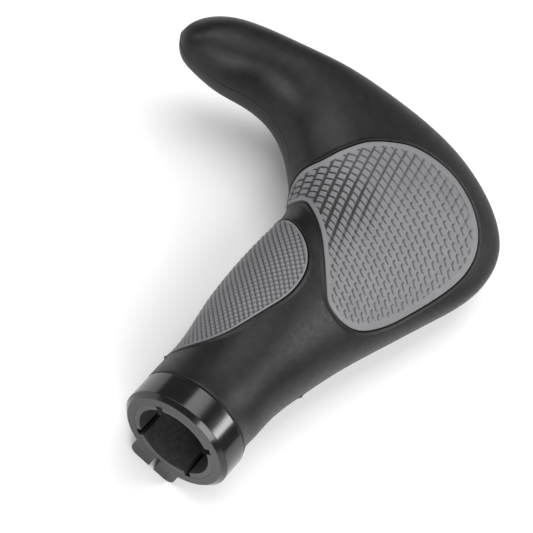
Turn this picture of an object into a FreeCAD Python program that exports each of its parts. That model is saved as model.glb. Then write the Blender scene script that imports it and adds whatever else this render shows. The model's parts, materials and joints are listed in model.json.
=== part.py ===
import FreeCAD, Part
import math
import os

import Sketcher

# Lock-on handlebar grip with a built-in bar end, for the right-hand side. Millimetres.
# +X runs outboard along the handlebar, +Y points forward, where the bar end reaches, and +Z is up.
# The origin is on the handlebar's axis, in the plane of the lock ring's inboard face.

os.makedirs("parts", exist_ok=True)
Vector = FreeCAD.Vector
doc = FreeCAD.newDocument("BarEndGrip")
sheet = doc.addObject("Spreadsheet::Sheet", "Dimensions")

DIMENSIONS = [
    ("sleeve_bore_radius", 11.15, "takes a 22.2 mm handlebar"),
    ("sleeve_outer_radius", 12.7, "nylon tube that the rubber is moulded on"),
    ("bore_depth", 90, "from the inboard end to the end wall"),
    ("sleeve_length", 96, "with the end wall"),
    ("spigot_length", 9, "bare end of the sleeve, inside the lock ring"),
    ("flange_radius", 15, "stop between the lock ring and the rubber"),
    ("flange_thickness", 1.5, ""),
    ("slot_width", 2, "slots that let the spigot close on the bar"),
    ("slot_length", 8, ""),
    ("slot_count", 4, ""),
    ("key_width", 4, "lug that stops the ring from turning"),
    ("key_length", 2.5, ""),
    ("key_top", 14.6, "height of the lug's top above the axis"),
    ("key_play", 0.1, "gap on each side of the lug"),
    ("key_root", 0.5, "how far the lug runs on into the flange"),
    ("wing_top", -1.2, "top face of the stiffening plate in the wing"),
    ("wing_thickness", 3, ""),
    ("wing_root", 11.8, "where the plate starts in the sleeve's wall"),
    ("ring_width", 9, ""),
    ("ring_outer_radius", 16.5, ""),
    ("ring_bore_radius", 12.75, ""),
    ("ring_inboard_chamfer", 1.3, ""),
    ("ring_outboard_chamfer", 0.4, ""),
    ("boss_width", 7.6, "along the bar"),
    ("boss_front", 7.8, "from the slit's middle to the head side"),
    ("boss_rear", 7.2, "from the slit's middle to the thread side"),
    ("boss_bottom", 21, "below the axis"),
    ("boss_fillet", 2.6, "on the two long corners at its foot"),
    ("slit_width", 1.6, ""),
    ("screw_drop", 16.9, "clamp screw's axis below the bar's axis"),
    ("screw_hole_radius", 2.0, ""),
    ("screw_radius", 1.95, "M4 thread, modelled as a plain shank"),
    ("screw_length", 10.5, "under the head"),
    ("screw_tip_chamfer", 0.4, ""),
    ("head_radius", 3.4, ""),
    ("head_height", 3.4, ""),
    ("head_chamfer", 0.35, ""),
    ("socket_across_flats", 3, "hexagon key"),
    ("socket_depth", 2, ""),
    ("counterbore_radius", 3.7, ""),
    ("counterbore_floor", 3.1, "from the slit's middle"),
    ("washer_inner_radius", 2.15, ""),
    ("washer_outer_radius", 3.4, ""),
    ("washer_thickness", 0.9, ""),
    ("washer_gap", 0.8, "cut of the spring washer"),
    ("foot_radius", 9.5, "boss of the horn core on the sleeve's end wall"),
    ("foot_length", 16, ""),
    ("foot_forward", 1, ""),
    ("foot_drop", 0.8, ""),
    ("core_screw_radius", 1.45, "self-tapping screws into the horn core"),
    ("core_screw_hole", 1.5, "pilot hole in the horn core"),
    ("end_wall_hole", 1.6, "clearance hole in the sleeve's end wall"),
    ("core_screw_length", 13, "under the head"),
    ("core_head_radius", 2.8, ""),
    ("core_head_height", 1.9, ""),
    ("core_recess_radius", 3.1, ""),
    ("core_recess_depth", 2, ""),
    ("core_screw_spread", 5, "each screw from the bar's axis"),
    ("horn_wall", 5, "rubber over the horn core"),
    ("pad_depth", 1.6, "how deep the soft pads are let into the rubber"),
    ("pad_proud", 0.2, "how far they stand out of it"),
    ("palm_pad_low", -5, "lowest point of the palm pad in the crook"),
    ("finger_pad_tilt", 20, "degrees that the finger pad faces up"),
    ("overcut", 1, "how far a cut runs past the face that it opens"),
]
for row, (alias, value, note) in enumerate(DIMENSIONS, start=1):
    sheet.set(f"A{row}", alias)
    sheet.set(f"B{row}", str(value))
    sheet.set(f"C{row}", note)
    sheet.setAlias(f"B{row}", alias)

# The rubber body is a run of sections, each standing upright across the grip. A section has an
# inner edge, on the front and crook side, and an outer edge, round the rear, the palm and the end.
SECTION_COLUMNS = ["inner_x", "inner_y", "outer_x", "outer_y", "inner_z", "outer_z",
                   "inner_round", "outer_round"]
SECTIONS = [
    (9, 16.5, 9, -16.5, 0, 0, 16.5, 16.5),
    (12.5, 16.5, 12.5, -15, 0, 0, 16, 16),
    (17, 16.5, 17, -15.5, 0, 0, 15.8, 15.4),
    (26, 16.5, 26, -15.5, 0, 0, 16.3, 15.6),
    (38, 18.5, 38, -18, 0, 0, 17.4, 15.6),
    (52, 19.5, 53, -21.5, 0, -1, 18.2, 13.5),
    (66, 19.5, 70, -27, 0, -2, 18.8, 10.8),
    (76, 19, 86, -32, 0, -3, 18.8, 8.8),
    (83, 21, 102, -36.5, 0, -4, 18.6, 7.8),
    (88, 24.5, 119.5, -34.5, 0.3, -4, 18, 7.4),
    (92.5, 29.5, 130, -21, 1, -3, 17, 7.6),
    (95.5, 35, 133.5, -3, 2, -1, 15.6, 8.6),
    (96.5, 42.5, 130, 16.5, 4, 2, 14, 9.8),
    (94, 51, 125, 32.5, 6, 5, 12.6, 10.8),
    (90, 58, 118, 45.5, 8, 8, 11.6, 11.2),
    (88.5, 66.5, 112, 59, 9.5, 9.5, 10.4, 10.4),
    (88.5, 72, 107, 67.5, 10.5, 10.5, 7.8, 7.8),
    (92.5, 75, 103, 71.5, 11, 11, 3.9, 3.9),
]
FIRST_SECTION_ROW = len(DIMENSIONS) + 3
for number, section in enumerate(SECTIONS, start=1):
    row = FIRST_SECTION_ROW + number
    sheet.set(f"A{row}", f"section {number}")
    for column, name, value in zip("BCDEFGHI", SECTION_COLUMNS, section):
        sheet.set(f"{column}{row}", str(value))
        sheet.setAlias(f"{column}{row}", f"{name}_{number}")
doc.recompute()


def size(alias):
    return float(sheet.get(alias))


def make(kind, name, **links):
    item = doc.addObject(kind, name)
    for key, value in links.items():
        setattr(item, key, value)
    return item


def bind(item, **expressions):
    for key, expression in expressions.items():
        item.setExpression(key.replace("__", "."), expression)


# ---------------------------------------------------------------------------------------------
# Free-form surface of the rubber body
# ---------------------------------------------------------------------------------------------
AROUND = 16          # points round a section
CROWN = 1.25         # more than 1 moves a section's fullness towards its inner edge


def section_points(number, offset):
    """Points round one section: a stadium whose end radius blends from inner to outer."""
    values = {name: size(f"{name}_{number}") for name in SECTION_COLUMNS}
    inner = Vector(values["inner_x"], values["inner_y"], 0)
    outer = Vector(values["outer_x"], values["outer_y"], 0)
    across = (outer - inner).normalize()
    inner_centre = inner + across * values["inner_round"] + Vector(0, 0, values["inner_z"])
    outer_centre = outer - across * values["outer_round"] + Vector(0, 0, values["outer_z"])
    points = []
    for step in range(AROUND):
        angle = 2 * math.pi * step / AROUND
        part_way = ((1 - math.cos(angle)) / 2) ** CROWN
        blend = part_way * part_way * (3 - 2 * part_way)
        radius = (values["inner_round"] + offset) * (1 - blend)
        radius += (values["outer_round"] + offset) * blend
        centre = inner_centre * (1 - blend) + outer_centre * blend
        normal = across * -math.cos(angle) + Vector(0, 0, math.sin(angle))
        points.append(centre + normal * radius)
    return points


def sharpen(previous, point, following):
    """Control point that makes a uniform cubic spline pass near the given point."""
    return point - (previous - point * 2 + following) * (1 / 6)


def skin_solid(first, last, offset):
    """Closed solid through sections first to last, grown by offset, with flat ends."""
    rows = []
    for number in range(first, last + 1):
        ring = section_points(number, offset)
        count = len(ring)
        rows.append([sharpen(ring[k - 1], ring[k], ring[(k + 1) % count]) for k in range(count)])
    poles = [rows[0]]
    for before, here, after in zip(rows, rows[1:], rows[2:]):
        poles.append([sharpen(a, b, c) for a, b, c in zip(before, here, after)])
    poles.append(rows[-1])
    spans = len(poles) - 3
    surface = Part.BSplineSurface()
    surface.buildFromPolesMultsKnots(
        poles,
        [4] + [1] * (spans - 1) + [4],
        [1] * (AROUND + 1),
        list(range(spans + 1)),
        list(range(AROUND + 1)),
        False, True, 3, 3)
    skin = surface.toShape()
    ends = [Part.Face(Part.Wire([surface.uIso(u).toShape()])) for u in (0, spans)]
    shell = Part.makeShell([skin] + ends)
    shell.sewShape()
    solid = Part.makeSolid(shell)
    if solid.Volume < 0:
        solid.reverse()
    return solid


def skin_feature(name, first, last, offset):
    item = doc.addObject("Part::Feature", name)
    item.Shape = skin_solid(first, last, offset)
    item.Placement = FreeCAD.Placement()
    return item


LAST = len(SECTIONS)
outer_skin = skin_feature("outer_skin", 1, LAST, 0)
pad_top_skin = skin_feature("pad_top_skin", 1, LAST, size("pad_proud"))
pad_floor_skin = skin_feature("pad_floor_skin", 1, LAST, -size("pad_depth"))
doc.recompute()


# ---------------------------------------------------------------------------------------------
# Sketch helpers: every size in a sketch is a constraint that reads the sheet
# ---------------------------------------------------------------------------------------------
def origin_plane(body, role):
    return next(item for item in body.Origin.OriginFeatures if item.Role == role)


def new_sketch(body, name, role, offset=None, turn=0):
    """Sketch on an origin plane, moved along the plane's normal by an expression."""
    sketch = body.newObject("Sketcher::SketchObject", name)
    sketch.AttachmentSupport = [(origin_plane(body, role), "")]
    sketch.MapMode = "FlatFace"
    sketch.AttachmentOffset = FreeCAD.Placement(Vector(), FreeCAD.Rotation(Vector(0, 0, 1), turn))
    if offset:
        sketch.setExpression("AttachmentOffset.Base.z", offset)
    return sketch


FIRST_VALUE = 1.0    # any value does until the expression sets it


def limit(sketch, kind, expression, *where):
    """Dimension from the sketch's origin or of a curve, bound to an expression."""
    index = sketch.addConstraint(Sketcher.Constraint(kind, *where, FIRST_VALUE))
    sketch.setExpression(f"Constraints[{index}]", expression)


def place_point(sketch, curve, end, across, up):
    limit(sketch, "DistanceX", across, -1, 1, curve, end)
    limit(sketch, "DistanceY", up, -1, 1, curve, end)


def polygon(sketch, corners):
    """Closed outline. Each corner is a pair of expressions."""
    places = [[sheet_value(expression) for expression in corner] for corner in corners]
    count = len(corners)
    for k in range(count):
        start = Vector(*places[k], 0)
        end = Vector(*places[(k + 1) % count], 0)
        sketch.addGeometry(Part.LineSegment(start, end), False)
    for k in range(count):
        sketch.addConstraint(Sketcher.Constraint("Coincident", k, 2, (k + 1) % count, 1))
    for k, (across, up) in enumerate(corners):
        place_point(sketch, k, 1, across, up)


def circle(sketch, radius, across="0", up="0"):
    centre = Vector(sheet_value(across), sheet_value(up), 0)
    curve = sketch.addGeometry(Part.Circle(centre, Vector(0, 0, 1), sheet_value(radius)), False)
    place_point(sketch, curve, 3, across, up)
    limit(sketch, "Radius", radius, curve)


def sheet_value(expression):
    """First value of a sketch dimension, worked out as the sheet will work it out."""
    value = sheet.evalExpression(expression.replace("Dimensions.", ""))
    return float(getattr(value, "Value", value))


def rectangle(sketch, left, right, low, high):
    polygon(sketch, [(left, low), (right, low), (right, high), (left, high)])


def feature(body, kind, name, sketch, **settings):
    item = body.newObject(f"PartDesign::{kind}", name)
    item.Profile = sketch
    for key, value in settings.items():
        setattr(item, key, value)
    return item


def revolve(body, name, sketch, axis):
    return feature(body, "Revolution", name, sketch, ReferenceAxis=(sketch, [axis]), Angle=360)


def through(body, name, sketch, midplane=True):
    """Pocket through everything: both ways, or only against the sketch's normal."""
    return feature(body, "Pocket", name, sketch, Type="ThroughAll", Midplane=midplane)


NEAR = 0.01          # edges are picked by where their ends are, to within this


def new_body(name):
    body = doc.addObject("PartDesign::Body", name)
    body.Label = name
    return body


# ---------------------------------------------------------------------------------------------
# Lock ring: split aluminium collar with its screw boss underneath
# ---------------------------------------------------------------------------------------------
def build_lock_ring():
    body = new_body("lock_ring")
    wall = new_sketch(body, "ring_profile", "XZ_Plane")
    polygon(wall, [
        ("0", "Dimensions.ring_bore_radius"),
        ("Dimensions.ring_width", "Dimensions.ring_bore_radius"),
        ("Dimensions.ring_width", "Dimensions.ring_outer_radius - Dimensions.ring_outboard_chamfer"),
        ("Dimensions.ring_width - Dimensions.ring_outboard_chamfer", "Dimensions.ring_outer_radius"),
        ("Dimensions.ring_inboard_chamfer", "Dimensions.ring_outer_radius"),
        ("0", "Dimensions.ring_outer_radius - Dimensions.ring_inboard_chamfer"),
    ])
    revolve(body, "ring_turned", wall, "H_Axis")

    boss = new_sketch(body, "boss_outline", "YZ_Plane",
                      "(Dimensions.ring_width - Dimensions.boss_width) / 2")
    rectangle(boss, "-Dimensions.boss_rear", "Dimensions.boss_front",
              "-Dimensions.boss_bottom", "-Dimensions.ring_bore_radius")
    pad = feature(body, "Pad", "boss", boss)
    bind(pad, Length="Dimensions.boss_width")
    doc.recompute()
    foot_corners = [f"Edge{k}" for k, edge in enumerate(pad.Shape.Edges, start=1)
                    if all(abs(vertex.Z + size("boss_bottom")) < NEAR for vertex in edge.Vertexes)
                    and abs(edge.Vertexes[0].Y - edge.Vertexes[-1].Y) < NEAR]
    fillet = body.newObject("PartDesign::Fillet", "boss_rounding")
    fillet.Base = (pad, foot_corners)
    bind(fillet, Radius="Dimensions.boss_fillet")

    bore = new_sketch(body, "bore_outline", "YZ_Plane")
    circle(bore, "Dimensions.ring_bore_radius")
    through(body, "bore", bore)

    slit = new_sketch(body, "slit_outline", "YZ_Plane")
    rectangle(slit, "-Dimensions.slit_width / 2", "Dimensions.slit_width / 2",
              "-Dimensions.boss_bottom - Dimensions.overcut", "-Dimensions.ring_bore_radius / 2")
    through(body, "slit", slit)

    hole = new_sketch(body, "screw_hole_outline", "XZ_Plane")
    circle(hole, "Dimensions.screw_hole_radius",
           "Dimensions.ring_width / 2", "-Dimensions.screw_drop")
    through(body, "screw_hole", hole)

    # The XZ plane's normal is -Y, so a negative offset is towards +Y and the pocket runs on to +Y.
    seat = new_sketch(body, "counterbore_outline", "XZ_Plane", "-Dimensions.counterbore_floor")
    circle(seat, "Dimensions.counterbore_radius",
           "Dimensions.ring_width / 2", "-Dimensions.screw_drop")
    through(body, "counterbore", seat, midplane=False)

    key = new_sketch(body, "key_notch_outline", "YZ_Plane", "Dimensions.ring_width")
    rectangle(key, "-Dimensions.key_width / 2 - Dimensions.key_play",
              "Dimensions.key_width / 2 + Dimensions.key_play",
              "Dimensions.ring_bore_radius - Dimensions.overcut",
              "Dimensions.key_top + Dimensions.key_play")
    notch = feature(body, "Pocket", "key_notch", key)
    bind(notch, Length="Dimensions.key_length + Dimensions.key_play")
    return body


# ---------------------------------------------------------------------------------------------
# Core sleeve: nylon tube with a closed outboard end, a slotted spigot, a flange and a wing plate
# ---------------------------------------------------------------------------------------------
def build_core_sleeve():
    body = new_body("core_sleeve")
    wall = new_sketch(body, "sleeve_profile", "XZ_Plane")
    flange_end = "Dimensions.spigot_length + Dimensions.flange_thickness"
    polygon(wall, [
        ("0", "Dimensions.sleeve_bore_radius"),
        ("0", "Dimensions.sleeve_outer_radius"),
        ("Dimensions.spigot_length", "Dimensions.sleeve_outer_radius"),
        ("Dimensions.spigot_length", "Dimensions.flange_radius"),
        (flange_end, "Dimensions.flange_radius"),
        (flange_end, "Dimensions.sleeve_outer_radius"),
        ("Dimensions.sleeve_length", "Dimensions.sleeve_outer_radius"),
        ("Dimensions.sleeve_length", "0"),
        ("Dimensions.bore_depth", "0"),
        ("Dimensions.bore_depth", "Dimensions.sleeve_bore_radius"),
    ])
    revolve(body, "sleeve_turned", wall, "H_Axis")

    plate = new_sketch(body, "wing_plate_outline", "XY_Plane",
                       "Dimensions.wing_top - Dimensions.wing_thickness")
    polygon(plate, [
        ("58", "-Dimensions.wing_root"),
        ("60", "-17"),
        ("72", "-22.5"),
        ("90", "-27"),
        ("103", "-27.5"),
        ("112", "-24"),
        ("116", "-17"),
        ("Dimensions.sleeve_length", "-Dimensions.wing_root"),
    ])
    bind(feature(body, "Pad", "wing_plate", plate), Length="Dimensions.wing_thickness")

    key = new_sketch(body, "key_outline", "YZ_Plane",
                     "Dimensions.spigot_length - Dimensions.key_length")
    rectangle(key, "-Dimensions.key_width / 2", "Dimensions.key_width / 2",
              "(Dimensions.sleeve_bore_radius + Dimensions.sleeve_outer_radius) / 2",
              "Dimensions.key_top")
    bind(feature(body, "Pad", "key", key), Length="Dimensions.key_length + Dimensions.key_root")

    slot = new_sketch(body, "slot_outline", "YZ_Plane", turn=45)
    rectangle(slot, "-Dimensions.slot_width / 2", "Dimensions.slot_width / 2",
              "Dimensions.sleeve_bore_radius - Dimensions.overcut",
              "Dimensions.sleeve_outer_radius + Dimensions.overcut")
    first_slot = feature(body, "Pocket", "slot", slot, Reversed=True)
    bind(first_slot, Length="Dimensions.slot_length")
    slots = body.newObject("PartDesign::PolarPattern", "slots")
    slots.Originals = [first_slot]
    slots.Axis = (origin_plane(body, "X_Axis"), [""])
    bind(slots, Occurrences="Dimensions.slot_count")
    body.Tip = slots

    holes = new_sketch(body, "end_wall_holes_outline", "YZ_Plane")
    recess = new_sketch(body, "end_wall_recess_outline", "YZ_Plane",
                        "Dimensions.bore_depth + Dimensions.core_recess_depth")
    for side in ("-", ""):
        across = f"{side}Dimensions.core_screw_spread"
        circle(holes, "Dimensions.end_wall_hole", across)
        circle(recess, "Dimensions.core_recess_radius", across)
    through(body, "end_wall_holes", holes)
    through(body, "end_wall_recesses", recess, midplane=False)
    return body


# ---------------------------------------------------------------------------------------------
# Clamp screw and its spring washer. Both are drawn upright and turned to lie along +Y.
# ---------------------------------------------------------------------------------------------
def lay_along_y(body, distance):
    body.Placement = FreeCAD.Placement(Vector(), FreeCAD.Rotation(Vector(1, 0, 0), -90))
    bind(body, Placement__Base__x="Dimensions.ring_width / 2",
         Placement__Base__y=distance,
         Placement__Base__z="-Dimensions.screw_drop")


def build_clamp_screw():
    body = new_body("clamp_screw")
    profile = new_sketch(body, "screw_profile", "XZ_Plane")
    polygon(profile, [
        ("0", "-Dimensions.screw_length"),
        ("Dimensions.screw_radius - Dimensions.screw_tip_chamfer", "-Dimensions.screw_length"),
        ("Dimensions.screw_radius", "-Dimensions.screw_length + Dimensions.screw_tip_chamfer"),
        ("Dimensions.screw_radius", "0"),
        ("Dimensions.head_radius", "0"),
        ("Dimensions.head_radius", "Dimensions.head_height - Dimensions.head_chamfer"),
        ("Dimensions.head_radius - Dimensions.head_chamfer", "Dimensions.head_height"),
        ("0", "Dimensions.head_height"),
    ])
    revolve(body, "screw_turned", profile, "V_Axis")
    socket = new_sketch(body, "socket_outline", "XY_Plane", "Dimensions.head_height")
    corner = "Dimensions.socket_across_flats / sqrt(3)"
    polygon(socket, [(f"{corner} * cos({angle})", f"{corner} * sin({angle})")
                     for angle in range(0, 360, 60)])
    bind(feature(body, "Pocket", "socket", socket), Length="Dimensions.socket_depth")
    lay_along_y(body, "Dimensions.counterbore_floor + Dimensions.washer_thickness")
    return body


def build_clamp_washer():
    body = new_body("clamp_washer")
    outline = new_sketch(body, "washer_outline", "XY_Plane")
    circle(outline, "Dimensions.washer_outer_radius")
    circle(outline, "Dimensions.washer_inner_radius")
    bind(feature(body, "Pad", "washer_blank", outline), Length="Dimensions.washer_thickness")
    cut = new_sketch(body, "washer_cut_outline", "XY_Plane")
    rectangle(cut, "Dimensions.washer_inner_radius - Dimensions.overcut",
              "Dimensions.washer_outer_radius + Dimensions.overcut",
              "-Dimensions.washer_gap / 2", "Dimensions.washer_gap / 2")
    through(body, "washer_cut", cut)
    lay_along_y(body, "Dimensions.counterbore_floor")
    return body


# ---------------------------------------------------------------------------------------------
# Horn core: stiff bone inside the bar end, on a foot that is screwed to the sleeve's end wall
# ---------------------------------------------------------------------------------------------
FIRST_HORN_SECTION = 10
LAST_HORN_SECTION = 17


def rod_along_x(name, radius, length, start, across="0 mm", up="0 mm"):
    """Round rod parallel to the handlebar. Every argument after name is an expression."""
    rod = make("Part::Cylinder", name)
    rod.Placement = FreeCAD.Placement(Vector(), FreeCAD.Rotation(Vector(0, 1, 0), 90))
    bind(rod, Radius=radius, Height=length, Placement__Base__x=start,
         Placement__Base__y=across, Placement__Base__z=up)
    return rod


def build_horn_core(core_sleeve):
    bone = skin_feature("horn_bone", FIRST_HORN_SECTION, LAST_HORN_SECTION, -size("horn_wall"))
    foot = rod_along_x("horn_foot", "Dimensions.foot_radius", "Dimensions.foot_length",
                       "Dimensions.sleeve_length", "Dimensions.foot_forward",
                       "-Dimensions.foot_drop")
    whole = make("Part::MultiFuse", "horn_core_blank", Shapes=[bone, foot], Refine=True)
    pilots = [rod_along_x(f"pilot_{name}", "Dimensions.core_screw_hole",
                          "Dimensions.core_screw_length",
                          "Dimensions.sleeve_length - Dimensions.overcut",
                          f"{sign}Dimensions.core_screw_spread")
              for name, sign in (("rear", "-"), ("front", ""))]
    holes = make("Part::MultiFuse", "horn_core_cuts", Shapes=[core_sleeve] + pilots)
    core = make("Part::Cut", "horn_core", Base=whole, Tool=holes)
    core.Label = "horn_core"
    return core, whole


def build_core_screws():
    screws = []
    seat = "Dimensions.bore_depth + Dimensions.core_recess_depth"
    for name, sign in (("rear", "-"), ("front", "")):
        across = f"{sign}Dimensions.core_screw_spread"
        shank = rod_along_x(f"shank_{name}", "Dimensions.core_screw_radius",
                            "Dimensions.core_screw_length", seat, across)
        head = rod_along_x(f"head_{name}", "Dimensions.core_head_radius",
                           "Dimensions.core_head_height",
                           f"{seat} - Dimensions.core_head_height", across)
        screws.append(make("Part::MultiFuse", f"core_screw_{name}", Shapes=[shank, head]))
    group = make("Part::Compound", "core_screws", Links=screws)
    group.Label = "core_screws"
    return group


# ---------------------------------------------------------------------------------------------
# Soft pads: each is cut from the layer between two skins by a prism of its outline
# ---------------------------------------------------------------------------------------------
PALM_OUTLINE = [
    (79, 17), (74.5, 11.5), (65.5, 3.5), (58.5, -3), (55, -10), (57.5, -17), (69, -23),
    (86, -28), (100, -30.5), (112, -27.5), (119.5, -18), (121.8, -9.5), (120, -1), (116, 7),
    (110, 12.5), (103, 17), (95, 20.5), (93, 26), (86, 30), (80, 25),
]
FINGER_OUTLINE = [
    (17.5, -4), (21.5, 5.5), (28.5, 10.5), (38, 13.3), (47.5, 14.3), (56, 13.6), (63, 11.5),
    (68.5, 6.5), (72, 0), (73, -4), (71, -9), (64, -14), (52, -16.5), (38, -15.5), (25, -12),
    (19, -8),
]


PRISM_LENGTH = 40    # long enough to run out through the skin


def outline_prism(name, outline, placement):
    """Prism whose base is a smooth closed curve through the outline's points."""
    curve = Part.BSplineCurve()
    curve.interpolate([Vector(across, up, 0) for across, up in outline], PeriodicFlag=True)
    face = Part.Face(Part.Wire([curve.toShape()]))
    item = doc.addObject("Part::Feature", name)
    item.Shape = face.extrude(Vector(0, 0, PRISM_LENGTH))
    item.Placement = placement
    return item


def build_pad(label, prism):
    layer = make("Part::Cut", f"{label}_layer", Base=pad_top_skin, Tool=pad_floor_skin)
    pad = make("Part::Common", label, Base=layer, Tool=prism)
    pad.Label = label
    return pad


def build_palm_pad():
    low = size("palm_pad_low")
    place = FreeCAD.Placement(Vector(0, 0, low), FreeCAD.Rotation())
    return build_pad("palm_pad", outline_prism("palm_prism", PALM_OUTLINE, place))


def build_finger_pad():
    # The prism's own Z runs forward and tilted up, and its X stays along the handlebar, so its
    # own Y points down and the outline is mirrored.
    turn = FreeCAD.Rotation(Vector(1, 0, 0), size("finger_pad_tilt") - 90)
    place = FreeCAD.Placement(Vector(), turn)
    mirrored = [(across, -up) for across, up in FINGER_OUTLINE]
    return build_pad("finger_pad", outline_prism("finger_prism", mirrored, place))


# ---------------------------------------------------------------------------------------------
# Rubber body: the outer skin less everything that is set into it
# ---------------------------------------------------------------------------------------------
def build_rubber_body(core_sleeve, horn_blank, pads):
    # The bar's space ends inside the sleeve's wall, so that the sleeve alone sets the surface.
    bar_space = rod_along_x("bar_space",
                            "(Dimensions.sleeve_bore_radius + Dimensions.sleeve_outer_radius) / 2",
                            "Dimensions.sleeve_length - Dimensions.spigot_length",
                            "Dimensions.spigot_length")
    inside = make("Part::MultiFuse", "inside_parts", Shapes=[core_sleeve, bar_space, horn_blank])
    without_core = make("Part::Cut", "rubber_around_core", Base=outer_skin, Tool=inside)
    pockets = make("Part::MultiFuse", "pad_pockets", Shapes=pads)
    body = make("Part::Cut", "rubber_body", Base=without_core, Tool=pockets)
    body.Label = "rubber_body"
    return body


lock_ring = build_lock_ring()
core_sleeve = build_core_sleeve()
clamp_screw = build_clamp_screw()
clamp_washer = build_clamp_washer()
horn_core, horn_blank = build_horn_core(core_sleeve)
core_screws = build_core_screws()
palm_pad = build_palm_pad()
finger_pad = build_finger_pad()
rubber_body = build_rubber_body(core_sleeve, horn_blank, [palm_pad, finger_pad])
doc.recompute()

SUB_PARTS = [lock_ring, clamp_screw, clamp_washer, core_sleeve, horn_core, core_screws,
             rubber_body, palm_pad, finger_pad]
for item in doc.Objects:
    if "Invalid" in item.State or "Error" in item.State:
        raise RuntimeError(f"{item.Name} failed: {item.State}")
for item in SUB_PARTS:
    if item.Shape.isNull() or not item.Shape.isValid():
        raise RuntimeError(f"{item.Label} has no valid shape")
for item in SUB_PARTS:
    item.Shape.exportStep(f"parts/{item.Label}.step")
    box = item.Shape.BoundBox
    print(f"{item.Label:14} {len(item.Shape.Solids)} solid(s) {item.Shape.Volume:10.1f} mm3  "
          f"X {box.XMin:7.2f} {box.XMax:7.2f}  Y {box.YMin:7.2f} {box.YMax:7.2f}  "
          f"Z {box.ZMin:7.2f} {box.ZMax:7.2f}")
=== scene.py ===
import json

import bmesh
import bpy
import numpy as np
from mathutils import Matrix, Vector
from mathutils.geometry import delaunay_2d_cdt
from mathutils.kdtree import KDTree


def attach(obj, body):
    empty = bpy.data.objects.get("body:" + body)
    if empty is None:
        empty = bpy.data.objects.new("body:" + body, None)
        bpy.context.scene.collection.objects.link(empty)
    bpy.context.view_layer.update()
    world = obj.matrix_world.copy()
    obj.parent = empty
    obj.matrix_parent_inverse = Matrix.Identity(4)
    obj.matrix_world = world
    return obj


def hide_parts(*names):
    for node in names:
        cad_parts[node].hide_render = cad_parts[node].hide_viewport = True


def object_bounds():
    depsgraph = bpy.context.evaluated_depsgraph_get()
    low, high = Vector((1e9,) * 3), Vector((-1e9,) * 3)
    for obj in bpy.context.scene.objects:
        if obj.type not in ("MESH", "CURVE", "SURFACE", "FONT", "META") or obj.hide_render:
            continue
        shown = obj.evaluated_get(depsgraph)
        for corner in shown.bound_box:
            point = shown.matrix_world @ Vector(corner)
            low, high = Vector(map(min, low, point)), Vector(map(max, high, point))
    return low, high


# Right-hand bar end grip. +X runs outboard along the handlebar, +Y forward, +Z up, in metres.
# Shapes are worked out in millimetres and turned into metres when a mesh is made.

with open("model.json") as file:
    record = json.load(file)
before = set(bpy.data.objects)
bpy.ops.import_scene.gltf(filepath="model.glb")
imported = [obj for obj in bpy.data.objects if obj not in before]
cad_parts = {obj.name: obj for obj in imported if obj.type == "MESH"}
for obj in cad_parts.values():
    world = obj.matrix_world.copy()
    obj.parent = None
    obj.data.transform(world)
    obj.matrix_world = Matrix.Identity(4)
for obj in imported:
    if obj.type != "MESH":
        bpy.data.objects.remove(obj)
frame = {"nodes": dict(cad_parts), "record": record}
CAD_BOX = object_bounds()
MM = 0.001

# ------------------------------------------------------------------------------------------
# The rubber body's surface: a run of upright sections, as in the part's source. Each row has the
# section's inner x, y and outer x, y, the height of each edge, and each edge's radius.
# ------------------------------------------------------------------------------------------
SECTIONS = np.array([
    (9, 16.5, 9, -16.5, 0, 0, 16.5, 16.5),
    (12.5, 16.5, 12.5, -15, 0, 0, 16, 16),
    (17, 16.5, 17, -15.5, 0, 0, 15.8, 15.4),
    (26, 16.5, 26, -15.5, 0, 0, 16.3, 15.6),
    (38, 18.5, 38, -18, 0, 0, 17.4, 15.6),
    (52, 19.5, 53, -21.5, 0, -1, 18.2, 13.5),
    (66, 19.5, 70, -27, 0, -2, 18.8, 10.8),
    (76, 19, 86, -32, 0, -3, 18.8, 8.8),
    (83, 21, 102, -36.5, 0, -4, 18.6, 7.8),
    (88, 24.5, 119.5, -34.5, 0.3, -4, 18, 7.4),
    (92.5, 29.5, 130, -21, 1, -3, 17, 7.6),
    (95.5, 35, 133.5, -3, 2, -1, 15.6, 8.6),
    (96.5, 42.5, 130, 16.5, 4, 2, 14, 9.8),
    (94, 51, 125, 32.5, 6, 5, 12.6, 10.8),
    (90, 58, 118, 45.5, 8, 8, 11.6, 11.2),
    (88.5, 66.5, 112, 59, 9.5, 9.5, 10.4, 10.4),
    (88.5, 72, 107, 67.5, 10.5, 10.5, 7.8, 7.8),
    (92.5, 75, 103, 71.5, 11, 11, 3.9, 3.9),
], float)
AROUND = 16                  # points round a section
CROWN = 1.25                 # more than 1 moves a section's fullness towards its inner edge
U_END = len(SECTIONS) - 3
SKIN_BATCH = 20000           # points worked out at a time


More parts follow.
